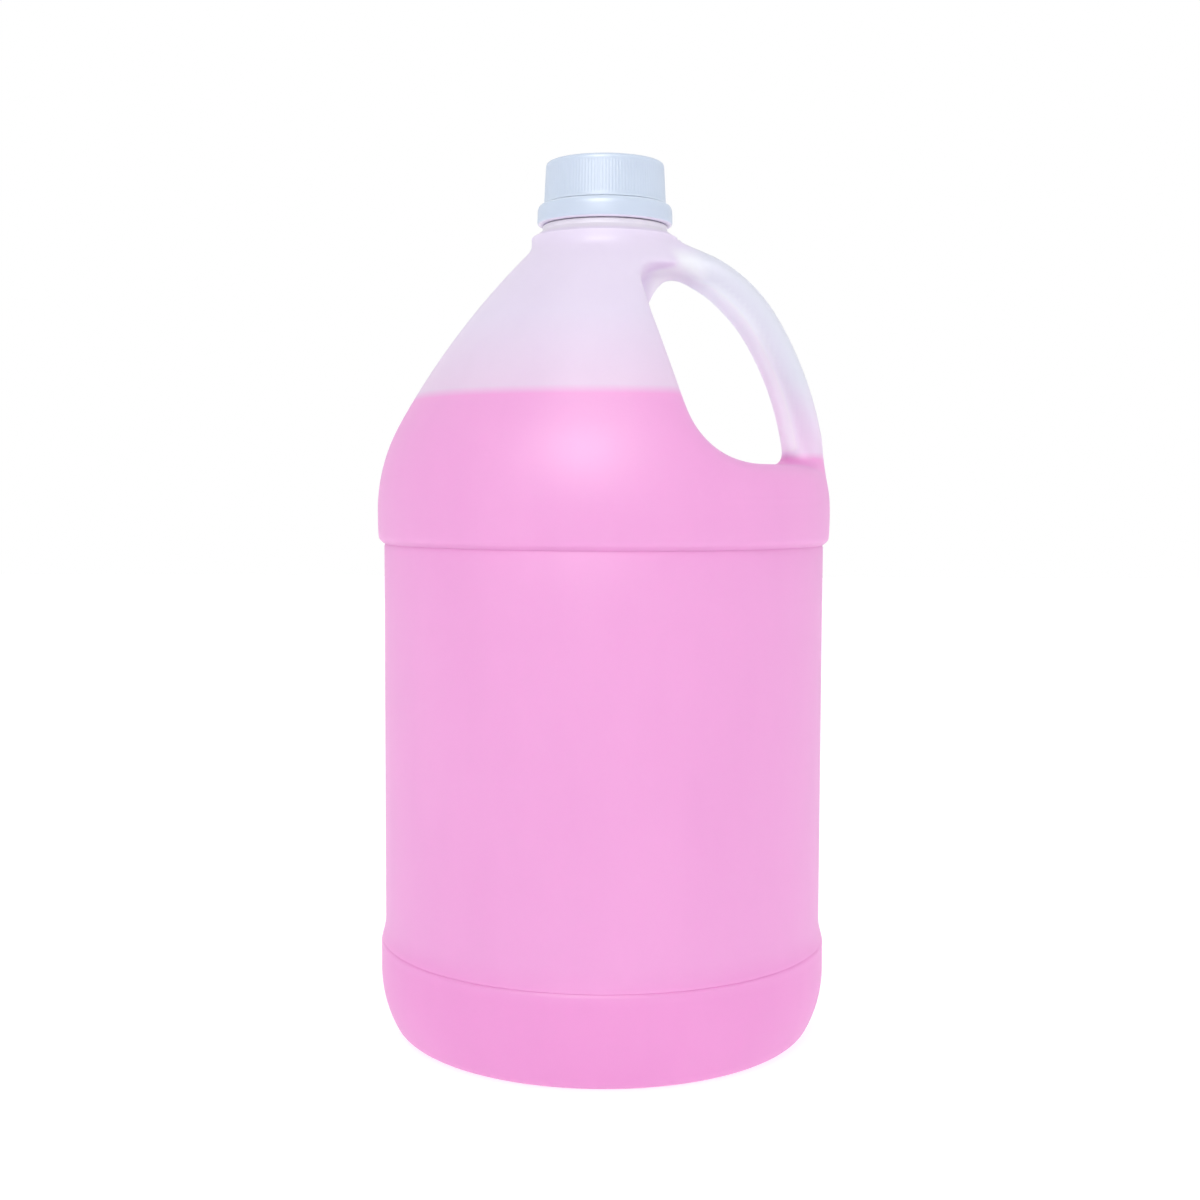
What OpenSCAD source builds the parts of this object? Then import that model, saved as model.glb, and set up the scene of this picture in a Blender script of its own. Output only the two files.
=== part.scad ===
// Round one-gallon jug with a carrying handle, a screw cap and a tamper band.
// Millimetres. +Z is up and the origin is the middle of the base, on the surface it stands on.
// The handle lies in the XZ plane, towards +X.

/* [Jug body] */
// Outside diameter of the label panel
panel_d = 152; // [146:0.5:158]
// How far the shoulder's widest ring stands out from the panel
shoulder_proud = 2.2; // [1.6:0.1:3]
// Height of the shoulder's widest ring
shoulder_h = 181; // [165:0.5:195]
// Radius of the shoulder's rounding
shoulder_round = 61; // [54:1:70]
// Angle of that rounding at which the cone takes over
shoulder_turn = 28.7; // [26:0.1:32]
// How far below the widest ring the shoulder turns in, as an angle of its rounding
shoulder_low_turn = 8.4; // [7:0.1:10]
// Radius of the cone's slight crown
cone_round = 261; // [220:1:320]
// Radius of the shoulder's lower edge
shoulder_edge = 3; // [2.5:0.1:5]
// Hollow radius where the panel meets the shoulder
shoulder_hollow = 1.5; // [1.2:0.1:3]
// Thickness of the blown wall
wall = 1; // [0.8:0.05:1.4]

/* [Base] */
// How far the base band stands out from the panel
base_proud = 1.5; // [0.8:0.1:2.2]
// Height of the base band's widest ring
base_h = 24; // [21.5:0.5:27]
// Upright length of the base band above that ring
base_band_l = 4.5; // [3.5:0.5:8]
// Rounded edge of the base band, towards the panel
base_edge = 14; // [8:0.5:20]
// Hollow radius where the base band meets the panel
base_hollow = 18; // [10:0.5:24]
// Radius of the heel's long rounding
heel_round = 48; // [43:1:53]
// Angle of that rounding at which the foot's rounding takes over
heel_turn = 22.9; // [20:0.1:26]
// Width of the flat ring that the jug stands on
foot_flat = 2; // [1:0.1:4]
// Angle by which the foot's rounding rises inside that ring
foot_turn = 45; // [30:1:60]
// Height of the push-up in the middle of the base
pushup_h = 7; // [5:0.5:9]

/* [Neck] */
// Diameter of the neck at the thread's root
finish_d = 35.2; // [31:0.1:39]
// Length of the neck from its ledge to the sealing rim
finish_l = 19; // [18.2:0.1:21]
// Thickness of the neck between thread and mouth
finish_t = 1.9; // [1.6:0.05:2.4]
// Bevel round the rim's edge
rim_bevel = 0.6; // [0.3:0.1:1]
// Depth of the mouth's straight bore
mouth_l = 18; // [16:0.5:20]
// Depth of the retaining bead's underside below the rim
bead_drop = 14.6; // [13.2:0.1:15.6]
// How far the bead that keeps the tamper band on stands out from the neck
bead_proud = 2.4; // [2.2:0.05:2.6]
// Height of the bead's upright edge
bead_edge = 0.6; // [0.4:0.1:1]
// Height of the slope above the bead, down to the thread's root
bead_slope = 2.4; // [1.6:0.1:2.6]
// How far the neck between ledge and bead stands out from the thread's root
column_proud = 1.3; // [1:0.05:1.5]
// How far the ledge under the tamper band stands out from the bead
ledge_proud = 1.5; // [1.2:0.1:2]
// Height of the ledge's upright edge
ledge_l = 1.6; // [1.2:0.1:2.4]
// How far the collar stands out from the ledge
collar_proud = 3.7; // [3.2:0.1:4.4]
// Height of the collar's upright edge
collar_l = 2.3; // [1.8:0.1:4]
// Bevel of the collar's top edge
collar_bevel = 0.5; // [0.3:0.1:0.8]
// Height of the slope from the collar up to the ledge
collar_slope = 2.4; // [1.6:0.1:3.4]
// Hollow radius where the cone runs up into the collar
collar_hollow = 5; // [3:0.5:7]

/* [Handle and grip gap] */
// How far the handle's outer edge stays inside the shoulder's widest ring
handle_inset = 0.8; // [0.4:0.1:1.2]
// Height above that ring at which the handle's outer edge is upright
handle_rise = 3; // [1:0.5:5]
// Radius of the handle's long lower bow, outer edge
handle_bow = 124; // [112:1:137]
// Angle at which the tighter upper bow takes over
handle_turn = 31; // [28:0.5:34]
// Depth below the collar's top at which the handle's outer edge meets the trunk
handle_drop = 1.8; // [1.4:0.1:3]
// Thickness of the handle, seen from the side
handle_t = 13.6; // [12:0.1:15]
// Width of the handle, seen from the end
handle_w = 22; // [18:0.5:26]
// How far the flat that the handle's top grows from stands out from the collar
trunk_proud = 0.4; // [0.2:0.1:1.2]
// Depth of the grip gap's ceiling below the collar's top
gap_ceiling_drop = 13; // [11.5:0.5:15]
// Height of the grip gap's floor above the shoulder's widest ring
gap_floor_rise = 16.4; // [15:0.1:18]
// Distance of the gap floor's lowest point from the side of the panel
gap_floor_in = 26.2; // [24:0.1:28]
// Radius of the gap's rounded corner, towards the jug
gap_round = 24; // [20:0.5:28]
// Lean of the gap's side towards the jug
gap_lean = 18.2; // [16:0.1:20]
// Radius of the hollow in the gap's top corner
gap_corner = 5; // [3:0.5:7]
// Radius of the rounded edge of the web in the top corner
web_round = 7; // [6:0.1:8]
// Width of the web between the gap's side and its rounded edge
web_side = 3.6; // [2.6:0.1:4.6]
// Height of the web above its rounded edge
web_l = 0.8; // [0.5:0.1:1.5]
// Thickness of the web
web_t = 1.6; // [1:0.1:2.4]
// Solid length where the handle's top is pinched shut
pinch_l = 3; // [2:0.5:5]

/* [Cap] */
// Height of the cap
cap_l = 14; // [12.6:0.1:14.4]
// Thickness of the skirt at its foot
skirt_t = 2; // [1.7:0.05:2.4]
// Room for the thread, from the neck's root to the skirt's bore
thread_room = 1.4; // [1.2:0.05:1.6]
// Draft of the skirt
cap_draft = 3; // [0:0.5:4]
// Thickness of the cap's top
cap_top_t = 1.4; // [1.2:0.1:1.8]
// Rounded edge of the top
cap_edge = 1.4; // [0.6:0.1:1.8]
// Number of grip ribs
rib_count = 120; // [60:2:150]
// Depth of the grooves between the ribs
rib_depth = 0.3; // [0.15:0.05:0.4]
// Smooth length left below and above the ribs
rib_margin = 0.9; // [0.5:0.1:2]

/* [Liner] */
// Thickness of the foam liner
liner_t = 1; // [0.8:0.05:1.2]
// Clearance round the liner
liner_room = 0.4; // [0.3:0.05:0.8]
// Clearance over and under the liner, together
liner_clear = 0.2; // [0.1:0.05:0.3]

/* [Tamper band] */
// Thickness of the tamper band outside the bead
band_t = 3; // [2.7:0.1:3.6]
// Height of the band over the ledge
band_lift = 0.3; // [0.2:0.05:0.6]
// Width of the split between skirt and band
split = 0.6; // [0.5:0.1:0.8]
// Rounded top edge of the band
band_edge = 1.2; // [0.6:0.1:1.4]
// Draft of the band, drawing in from foot to top
band_draft = 0.2; // [0.1:0.1:0.4]
// Rounded bottom edge of the band
band_low_edge = 1; // [0.6:0.1:1.4]
// Running clearance of the band round the bead
band_clear = 0.3; // [0.2:0.05:0.4]
// Inward reach of the lip that catches under the bead
lip_reach = 1; // [0.8:0.1:1.2]
// Height of the lip
lip_l = 2; // [1.5:0.1:2.3]
// Clearance of the lip under the bead
lip_clear = 0.4; // [0.2:0.1:0.6]
// Number of bridge stubs left on the band
stub_count = 12; // [6:1:16]
// Width of a bridge stub
stub_w = 1.2; // [0.8:0.1:1.6]
// Height of a bridge stub
stub_h = 0.35; // [0.2:0.05:0.4]

/* [Liquid] */
// Depth of the liquid's level below the collar's top
fill_drop = 55.1; // [30:0.1:70]
// Clearance between the liquid and the wall
liquid_clear = 0.15; // [0.1:0.05:0.3]

/* [Hidden] */
$fn = 96;

natural = [0.93, 0.91, 0.96, 0.55];
white = [0.86, 0.91, 0.96];
foam = [0.95, 0.95, 0.93];
pink = [0.97, 0.6, 0.87];

// Overlap that makes one moulding of two solids
bond = 1;
// How far the handle runs on below the gap's floor
root_l = 6;
// Angle by which the handle's hollow opens past that
root_open = 3;
// Drop of the neck's inside below the collar's top edge
neck_drop = 2;

panel_r = panel_d / 2;
base_r = panel_r + base_proud;
shoulder_r = panel_r + shoulder_proud;
// Reach of a cut past the jug's own outline
past = shoulder_r + handle_w;

// Radii of the neck, all from the thread's root
finish_r = finish_d / 2;
mouth_r = finish_r - finish_t;
column_r = finish_r + column_proud;
bead_r = finish_r + bead_proud;
ledge_r = bead_r + ledge_proud;
collar_r = ledge_r + collar_proud;

// Heel and foot: the long arc's centre, then the foot's arc, tangent to it and to the ground
heel_c = [base_r - heel_round, base_h];
foot_round = (heel_c.y - heel_round * sin(heel_turn)) / (1 - sin(heel_turn));
foot_c = heel_c + (heel_round - foot_round) * dir(-heel_turn);
// Push-up: an arc through the foot's inner edge and the raised middle
foot_in_c = foot_c - [foot_flat, 0];
foot_in = foot_in_c + foot_round * dir(-90 - foot_turn);
pushup_rise = pushup_h - foot_in.y;
pushup_round = (foot_in.x * foot_in.x + pushup_rise * pushup_rise) / (2 * pushup_rise);
pushup_c = [0, pushup_h - pushup_round];
pushup_turn = asin(foot_in.x / pushup_round);

// Base band drawing in to the panel: two tangent arcs
band_edge_c = [base_r - base_edge, base_h + base_band_l];
base_in = panel_r + base_hollow - band_edge_c.x;
base_bow = acos(base_in / (base_edge + base_hollow));
base_hollow_c = band_edge_c + (base_edge + base_hollow) * dir(base_bow);

// Shoulder, cone and collar: tangent arcs
shoulder_c = [shoulder_r - shoulder_round, shoulder_h];
cone_c = shoulder_c + (shoulder_round - cone_round) * dir(shoulder_turn);
collar_turn = acos((collar_r + collar_hollow - cone_c.x) / (cone_round + collar_hollow));
collar_c = cone_c + (cone_round + collar_hollow) * dir(collar_turn);
// Step from the panel up to the shoulder: two tangent arcs
step_c = shoulder_c + (shoulder_round - shoulder_edge) * dir(-shoulder_low_turn);
step_in = panel_r + shoulder_hollow - step_c.x;
step_bow = acos(step_in / (shoulder_edge + shoulder_hollow));
step_hollow_c = step_c + (shoulder_edge + shoulder_hollow) * dir(-step_bow);

// Heights of the neck, stacked on the cone
collar_h = collar_c.y + collar_l;
ledge_foot_h = collar_h + collar_slope;
ledge_h = ledge_foot_h + ledge_l;
rim_h = ledge_h + finish_l;
bead_h = rim_h - bead_drop;
mouth_foot_h = rim_h - mouth_l;

// Handle: its lower bow, then the upper bow that leaves it smoothly and lands on the trunk
trunk_x = collar_r + trunk_proud;
bow_c = [shoulder_r - handle_inset - handle_bow, shoulder_h + handle_rise];
bow_turn = dir(handle_turn);
landing = [trunk_x, collar_h - handle_drop] - bow_c;
landing_reach = handle_bow - landing * bow_turn;
landing_gap = landing - handle_bow * bow_turn;
handle_top_bow = landing_gap * landing_gap / (2 * landing_reach);
top_bow_c = bow_c + (handle_bow - handle_top_bow) * bow_turn;
// Angles at which its upper bow meets the trunk, and at which the pinch ends
handle_end = acos((trunk_x - 2 * bond - top_bow_c.x) / (handle_top_bow - handle_t / 2));
pinch_end = acos((trunk_x + pinch_l - top_bow_c.x) / (handle_top_bow - handle_t));

// Grip gap: the centre of its rounded floor, and its leaning side
gap_ceiling_h = collar_h - gap_ceiling_drop;
gap_floor_h = shoulder_h + gap_floor_rise;
gap_c = [panel_r - gap_floor_in, gap_floor_h + gap_round];
web_h = gap_ceiling_h - web_round - web_l;
web_c = [gap_side(web_h) + web_side + web_round, web_h];

// Cap, liner and band, stacked on the rim
cap_bore = finish_d + 2 * thread_room;
cap_r = cap_bore / 2 + skirt_t;
liner_d = cap_bore - 2 * liner_room;
cap_roof_h = rim_h + liner_t + liner_clear;
cap_top_h = cap_roof_h + cap_top_t;
cap_foot_h = cap_top_h - cap_l;
cap_top_r = cap_r - cap_l * tan(cap_draft);
band_bore = bead_r + band_clear;
band_r = band_bore + band_t;
band_top = cap_foot_h - split;
band_foot = ledge_h + band_lift;
lip_top = bead_h - lip_clear;
fill_h = collar_h - fill_drop;

function dir(a) = [cos(a), sin(a)];

// Distance of the gap's leaning side from the axis, at height h
function gap_side(h) = gap_c.x - (gap_round + (h - gap_c.y) * sin(gap_lean)) / cos(gap_lean);

// Points on an arc, from angle a to angle b
function arc(c, r, a, b, steps = 8) =
    [for (i = [0:steps]) c + r * dir(a + (b - a) * i / steps)];

// The jug's outline from the middle of the base up to the collar, drawn in by t
function body_curve(t) = concat(
    arc(pushup_c, pushup_round + t, 90, 90 - pushup_turn, 6),
    arc(foot_in_c, foot_round - t, -90 - foot_turn, -90, 4),
    arc(foot_c, foot_round - t, -90, -heel_turn, 6),
    arc(heel_c, heel_round - t, -heel_turn, 0, 5),
    arc(band_edge_c, base_edge - t, 0, base_bow, 4),
    arc(base_hollow_c, base_hollow + t, 180 + base_bow, 180, 4),
    arc(step_hollow_c, shoulder_hollow + t, 180, 180 - step_bow, 4),
    arc(step_c, shoulder_edge - t, -step_bow, -shoulder_low_turn, 4),
    arc(shoulder_c, shoulder_round - t, -shoulder_low_turn, shoulder_turn, 10),
    arc(cone_c, cone_round - t, shoulder_turn, collar_turn, 8),
    arc(collar_c, collar_hollow + t, 180 + collar_turn, 180, 5)
);

// Neck: collar, ledge, retaining bead and the rim that the liner seals on
function neck_curve() = [
    [collar_r, collar_h - collar_bevel],
    [collar_r - collar_bevel, collar_h],
    [ledge_r, ledge_foot_h],
    [ledge_r, ledge_h],
    [column_r, ledge_h],
    [column_r, bead_h],
    [bead_r, bead_h],
    [bead_r, bead_h + bead_edge],
    [finish_r, bead_h + bead_edge + bead_slope],
    [finish_r, rim_h - rim_bevel],
    [finish_r - rim_bevel, rim_h],
    [0, rim_h]
];

module jug_outside() {
    rotate_extrude() polygon(concat(body_curve(0), neck_curve()));
}

// The room inside the jug, t within its outside, up to the foot of the mouth
module jug_inside(t) {
    rotate_extrude() polygon(concat(
        body_curve(t),
        [[collar_r - t, collar_h - neck_drop], [mouth_r, mouth_foot_h], [0, mouth_foot_h]]
    ));
}

// Side view of the space cut away for the hand, grown by g
module gap_outline(g) {
    lean = gap_lean;
    ceiling = gap_ceiling_h + g;
    corner_y = ceiling - gap_corner;
    corner_x = gap_side(corner_y) - (g - gap_corner) / cos(lean);
    polygon(concat(
        [[trunk_x - g, collar_h + bond], [trunk_x - g, ceiling]],
        arc([corner_x, corner_y], gap_corner, 90, 180 + lean, 6),
        arc(gap_c, gap_round + g, 180 + lean, 270, 16),
        [[past, gap_floor_h - g], [past, collar_h + bond]]
    ));
}

// A side-view outline, drawn out to a width across the jug
module across(w) {
    rotate([90, 0, 0]) linear_extrude(w, center = true) children();
}

// The handle's oval section, drawn in by t
module handle_section(t) {
    r = handle_t / 2 - t;
    flat = (handle_w - handle_t) / 2;
    polygon(concat(arc([0, flat], r, 0, 180, 12), arc([0, -flat], r, 180, 360, 12)));
}

// The handle's two bows, swept down to angle a and up to angle b from the face they share
module handle_bar(t, a, b) {
    translate([bow_c.x, 0, bow_c.y]) rotate([90, 0, 0]) rotate([0, 0, handle_turn]) {
        rotate_extrude(angle = a - handle_turn)
            translate([handle_bow - handle_t / 2, 0]) handle_section(t);
        translate([handle_bow - handle_top_bow, 0]) rotate_extrude(angle = b - handle_turn)
            translate([handle_top_bow - handle_t / 2, 0]) handle_section(t);
    }
}

// The pinched skin in the gap's top corner, on the parting line
module web() {
    across(web_t) difference() {
        polygon([
            [gap_side(gap_ceiling_h) - bond, gap_ceiling_h + bond],
            [web_c.x + web_round, gap_ceiling_h + bond],
            [web_c.x + web_round, web_h],
            [web_c.x, web_h],
            [gap_side(web_h) - bond, web_h]
        ]);
        translate(web_c) circle(web_round);
        // the handle's own inner edge bounds the opening on its side
        intersection() {
            translate(top_bow_c) circle(handle_top_bow - handle_t + wall / 2);
            translate([web_c.x, web_h - bond]) square([past, web_round + bond]);
        }
    }
}

module bottle() {
    root = asin((gap_floor_h - root_l - bow_c.y) / handle_bow);
    color(natural) difference() {
        union() {
            difference() {
                jug_outside();
                across(2 * past) gap_outline(0);
            }
            handle_bar(0, root, handle_end);
            web();
        }
        difference() {
            jug_inside(wall);
            across(2 * past) gap_outline(wall);
        }
        handle_bar(wall, root - root_open, pinch_end);
        translate([0, 0, mouth_foot_h - bond]) cylinder(mouth_l + 2 * bond, r = mouth_r);
    }
}

module liquid() {
    t = wall + liquid_clear;
    color(pink) difference() {
        jug_inside(t);
        across(2 * past) gap_outline(t);
        translate([-past, -past, fill_h]) cube([2 * past, 2 * past, past]);
    }
}

// One groove of the grip, upright along the drafted skirt
module groove() {
    translate([cap_r, 0, cap_foot_h + rib_margin]) rotate([0, -cap_draft, 0]) rotate([0, 0, 45])
        linear_extrude(cap_l - cap_edge - 2 * rib_margin)
            square(rib_depth * sqrt(2), center = true);
}

module cap() {
    color(white) difference() {
        rotate_extrude() difference() {
            polygon(concat(
                [[0, cap_foot_h], [cap_r, cap_foot_h]],
                arc([cap_top_r - cap_edge, cap_top_h - cap_edge], cap_edge, 0, 90, 6),
                [[0, cap_top_h]]
            ));
            square([cap_bore / 2, cap_roof_h]);
        }
        for (i = [0:rib_count - 1]) rotate([0, 0, i * 360 / rib_count]) groove();
    }
}

module liner() {
    color(foam) translate([0, 0, rim_h + liner_clear / 2]) cylinder(liner_t, d = liner_d);
}

module tamper_band() {
    lip_r = band_bore - lip_reach;
    color(white) union() {
        rotate_extrude() polygon(concat(
            [[band_bore, band_foot]],
            arc([band_r - band_low_edge, band_foot + band_low_edge], band_low_edge, -90, 0, 4),
            arc([band_r - band_edge - band_draft, band_top - band_edge], band_edge, 0, 90, 4),
            [[band_bore, band_top], [band_bore, lip_top], [lip_r, lip_top], [lip_r, lip_top - lip_l]]
        ));
        for (i = [0:stub_count - 1]) rotate([0, 0, i * 360 / stub_count])
            translate([band_bore, -stub_w / 2, band_top - bond / 2])
                cube([cap_r - band_bore, stub_w, stub_h + bond / 2]);
    }
}

bottle();
liquid();
tamper_band();
liner();
cap();
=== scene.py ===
import bpy, math
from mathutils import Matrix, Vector


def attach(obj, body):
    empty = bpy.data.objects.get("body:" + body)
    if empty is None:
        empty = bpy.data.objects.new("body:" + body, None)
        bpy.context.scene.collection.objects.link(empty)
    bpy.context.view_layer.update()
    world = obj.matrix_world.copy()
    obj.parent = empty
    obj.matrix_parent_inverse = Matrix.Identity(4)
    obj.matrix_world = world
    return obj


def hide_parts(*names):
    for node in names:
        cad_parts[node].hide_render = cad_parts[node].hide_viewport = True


# One-gallon jug of pink remover: the blown jug with its handle, the liquid,
# the screw cap, the tamper band and the liner.
# Outlines and dictionaries are in millimetres; mm turns them into Blender's metres.
# Only the studio at the end is in metres.

mm = 0.001
mergeGap = 0.002
fullTurn = 2 * math.pi
jugAxis = {"center": (0, 0, 0), "axis": (0, 0, 1)}
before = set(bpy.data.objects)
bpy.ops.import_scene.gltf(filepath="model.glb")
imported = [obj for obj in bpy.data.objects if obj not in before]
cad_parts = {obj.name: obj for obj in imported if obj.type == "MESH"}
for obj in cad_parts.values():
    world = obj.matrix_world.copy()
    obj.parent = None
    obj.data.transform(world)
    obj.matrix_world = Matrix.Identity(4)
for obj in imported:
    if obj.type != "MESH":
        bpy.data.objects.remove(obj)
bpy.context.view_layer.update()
bpy.ops.object.select_all(action="DESELECT")
scene = bpy.context.scene
print("frame loaded:", sorted(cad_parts))


def arcPoints(centreX, centreZ, radius, fromAngle, toAngle, steps):
    # points along an arc in the XZ plane, angles in degrees from +X
    points = []
    for i in range(steps + 1):
        a = math.radians(fromAngle + (toAngle - fromAngle) * i / steps)
        points.append((centreX + radius * math.cos(a), centreZ + radius * math.sin(a)))
    return points


def startPoint(name, x, z):
    # a plane merged to one vertex, from which an outline is pulled
    bpy.ops.mesh.primitive_plane_add(size=mm)
    piece = bpy.context.object
    piece.name = piece.data.name = name
    bpy.ops.object.mode_set(mode="EDIT")
    bpy.ops.mesh.select_mode(type="VERT")
    bpy.ops.mesh.select_all(action="SELECT")
    bpy.ops.mesh.merge(type="CENTER")
    bpy.ops.transform.translate(value=(x * mm, 0, z * mm))
    return piece


def drawOutline(name, points):
    # the outline as a line of edges, pulled from point to point
    piece = startPoint(name, *points[0])
    last = points[0]
    for x, z in points[1:]:
        if math.hypot(x - last[0], z - last[1]) < mergeGap:
            continue
        step = ((x - last[0]) * mm, 0, (z - last[1]) * mm)
        bpy.ops.mesh.extrude_region_move(TRANSFORM_OT_translate={"value": step})
        last = (x, z)
    return piece


def turnOutline(name, points, steps):
    # the outline spun a full turn round the jug's axis
    piece = drawOutline(name, points)
    bpy.ops.mesh.select_all(action="SELECT")
    bpy.ops.mesh.spin(steps=steps, angle=fullTurn, **jugAxis)
    bpy.ops.mesh.select_all(action="SELECT")
    bpy.ops.mesh.remove_doubles(threshold=mergeGap * mm)
    bpy.ops.mesh.normals_make_consistent(inside=False)
    bpy.ops.object.mode_set(mode="OBJECT")
    return piece


def addModifier(piece, name, kind, **values):
    modifier = piece.modifiers.new(name, kind)
    for key, value in values.items():
        setattr(modifier, key, value)


def applyModifiers(piece):
    makeActive(piece)
    for modifier in list(piece.modifiers):
        bpy.ops.object.modifier_apply(modifier=modifier.name)


def makeActive(piece):
    if bpy.context.mode != "OBJECT":
        bpy.ops.object.mode_set(mode="OBJECT")
    bpy.ops.object.select_all(action="DESELECT")
    piece.select_set(True)
    bpy.context.view_layer.objects.active = piece


def editVertices(piece, test):
    # edit mode with just the vertices picked that pass the test, given in millimetres
    makeActive(piece)
    bpy.ops.object.mode_set(mode="EDIT")
    bpy.ops.mesh.select_mode(type="VERT")
    bpy.ops.mesh.select_all(action="DESELECT")
    bpy.ops.object.mode_set(mode="OBJECT")
    for v in piece.data.vertices:
        v.select = bool(test(v.co.x / mm, v.co.y / mm, v.co.z / mm))
    bpy.ops.object.mode_set(mode="EDIT")


def faceOutward(piece):
    makeActive(piece)
    bpy.ops.object.mode_set(mode="EDIT")
    bpy.ops.mesh.select_all(action="SELECT")
    bpy.ops.mesh.normals_make_consistent(inside=False)
    bpy.ops.object.mode_set(mode="OBJECT")


def cutLevel(z, **sides):
    # cuts what is picked level at z and clears a side of the cut
    bpy.ops.mesh.bisect(plane_co=(0, 0, z * mm), plane_no=(0, 0, 1), threshold=0.01 * mm, **sides)


def cutWith(piece, cutter, operation):
    addModifier(piece, operation.lower(), "BOOLEAN", operation=operation, object=cutter, solver="EXACT")
    applyModifiers(piece)
    bpy.data.objects.remove(cutter)


def joinPieces(piece, others):
    bpy.ops.object.select_all(action="DESELECT")
    for other in others:
        other.select_set(True)
    piece.select_set(True)
    bpy.context.view_layer.objects.active = piece
    bpy.ops.object.join()


def copyPiece(piece, name):
    makeActive(piece)
    bpy.ops.object.duplicate()
    twin = bpy.context.object
    twin.name = twin.data.name = name
    return twin


def smoothStep(low, high, value):
    # 0 up to low, 1 from high on, eased between
    t = min(1, max(0, (value - low) / (high - low)))
    return t * t * (3 - 2 * t)


def within(value, rise, fall):
    # 1 between the two ranges, eased to 0 over each of them
    return smoothStep(*rise, value) * (1 - smoothStep(*fall, value))


jug = {
    "turnSteps": 160,
    "wall": 1.0,
    "panel": 76.0,          # radius of the label panel
    "panelFoot": 40.2,      # and the heights it runs between
    "panelHead": 169.1,
    "shoulder": (17.2, 181, 61),            # centre and radius of the shoulder's rounding
    "cone": (-158.229, 84.955, 261),        # of the cone's slight crown
    "collarHollow": (30.2, 272.706, 5),     # and of the hollow under the collar
    "collar": 25.2,
    "coneFoot": 210.29,     # heights and angles at which one of these takes over from the other
    "coneHead": 269.18,
    "coneAngles": (28.7, 44.897),
    "seamLow": 186.0,       # where the turned lower part meets the moulded shoulder
    "seamHigh": 274.0,      # where that meets the turned neck
    "voxel": 1.7,
    "gapCentre": (49.1, 221.3),
    "gapRound": 24.15,
    "gapLean": 18.2,
    "gapCeiling": 263.5,
    "gapCorner": 5.0,
    "gapOpen": 25.6,        # over its ceiling the shoulder ends this far from the axis
    "webThick": 12.0,
    "rimSoft": (5.0, 13.0),     # the gap's rim is rounded this far from its edge
    "rimHeights": ((188, 193), (244, 254)),     # eased in and out over these heights
    "rimRounds": 62,
    "rootHeight": 198,      # the handle's lower root is rounded too, by this share
    "rootShare": 0.4,
    "rootReach": (3, 8),    # over and under that height
    "rootAcross": (48, 52),
    "rootSide": (14, 20),
    "cornerAcross": ((10, 17), (31, 38)),       # the gap's top corner is blended most
    "cornerHeights": ((240, 250), (269, 273)),
    "cornerSide": (2, 7),   # but less between these and the web's middle
    "cornerMiddle": 0.1,
    "cornerRounds": 60,
    "evenHeights": ((186, 190), (268, 273)),    # and the whole shoulder evened out a little
    "evenRounds": 4,
    "trueOff": 0.6,         # skin this close to the turned shape is set back on it
    "trueDepth": (11, 15),  # from this far behind the gap's rim
    "trueHead": 252,        # and over this height only left of the gap
    "trueAcross": (-2, 6),
    "creases": ((32.15, 32.9, 33.12, 0.42), (169.1, 169.9, 170.3, 0.35)),   # foot, bottom, head, depth
}


def lowerOutline():
    # from the middle of the push-up, round the heel and up the panel to the shoulder's seam
    panel, panelFoot, panelHead = jug["panel"], jug["panelFoot"], jug["panelHead"]
    shoulderX, shoulderZ, shoulderRound = jug["shoulder"]
    points = arcPoints(0, -367.28, 374.28, 90, 81.158, 9)
    points += arcPoints(63.691, 8.712, 8.712, -135, -90, 5)
    points += arcPoints(66.99, 6.6, 6.6, -90, -28, 9)
    points += arcPoints(37.5, 22.28, 40, -28, 0, 9)
    points += [(77.5, 27), (77.5, 30.6), (77.48, 31.5), (77.42, 32.15), (77.26, 32.9), (77.2, 33.12)]
    points += [(77.06, 33.7), (76.82, 34.6), (76.55, 35.7), (76.3, 36.9), (76.1, 38.3), (panel, panelFoot)]
    points += [(panel, panelFoot + (panelHead - panelFoot) * i / 6) for i in range(1, 6)]
    points += [(panel, panelHead), (76.02, 169.5), (76.15, 169.9), (76.45, 170.3), (76.8, 170.65)]
    points += [(77.2, 171.0), (77.55, 171.4), (77.8, 171.85)]
    points += [(77.95, 172.5), (78.05, 173.6), (78.12, 175.2), (78.18, 178)]
    seamTurn = math.degrees(math.asin((jug["seamLow"] - 0.7 - shoulderZ) / shoulderRound))
    points += arcPoints(shoulderX, shoulderZ, shoulderRound, 0, seamTurn, 6)
    return points


def shoulderRadius(z):
    # the jug's outer radius at a height over its widest ring
    if z < jug["coneFoot"]:
        x, middle, bow = jug["shoulder"]
        return x + math.sqrt(bow ** 2 - (z - middle) ** 2)
    if z < jug["coneHead"]:
        x, middle, bow = jug["cone"]
        return x + math.sqrt(bow ** 2 - (z - middle) ** 2)
    x, middle, bow = jug["collarHollow"]
    if z < middle:
        return x - math.sqrt(bow ** 2 - (middle - z) ** 2)
    return jug["collar"]


def gapDepth(x, z):
    # how far a point lies behind the grip gap's wall or under its floor
    cx, cz = jug["gapCentre"]
    lean = math.radians(jug["gapLean"])
    if x > cx and z < cz:
        return cz - jug["gapRound"] - z
    along = (z - cz) * math.cos(lean) - (x - cx) * math.sin(lean)
    if along < 0:
        return math.hypot(x - cx, z - cz) - jug["gapRound"]
    return (cx - x) * math.cos(lean) - (z - cz) * math.sin(lean) - jug["gapRound"]


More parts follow.
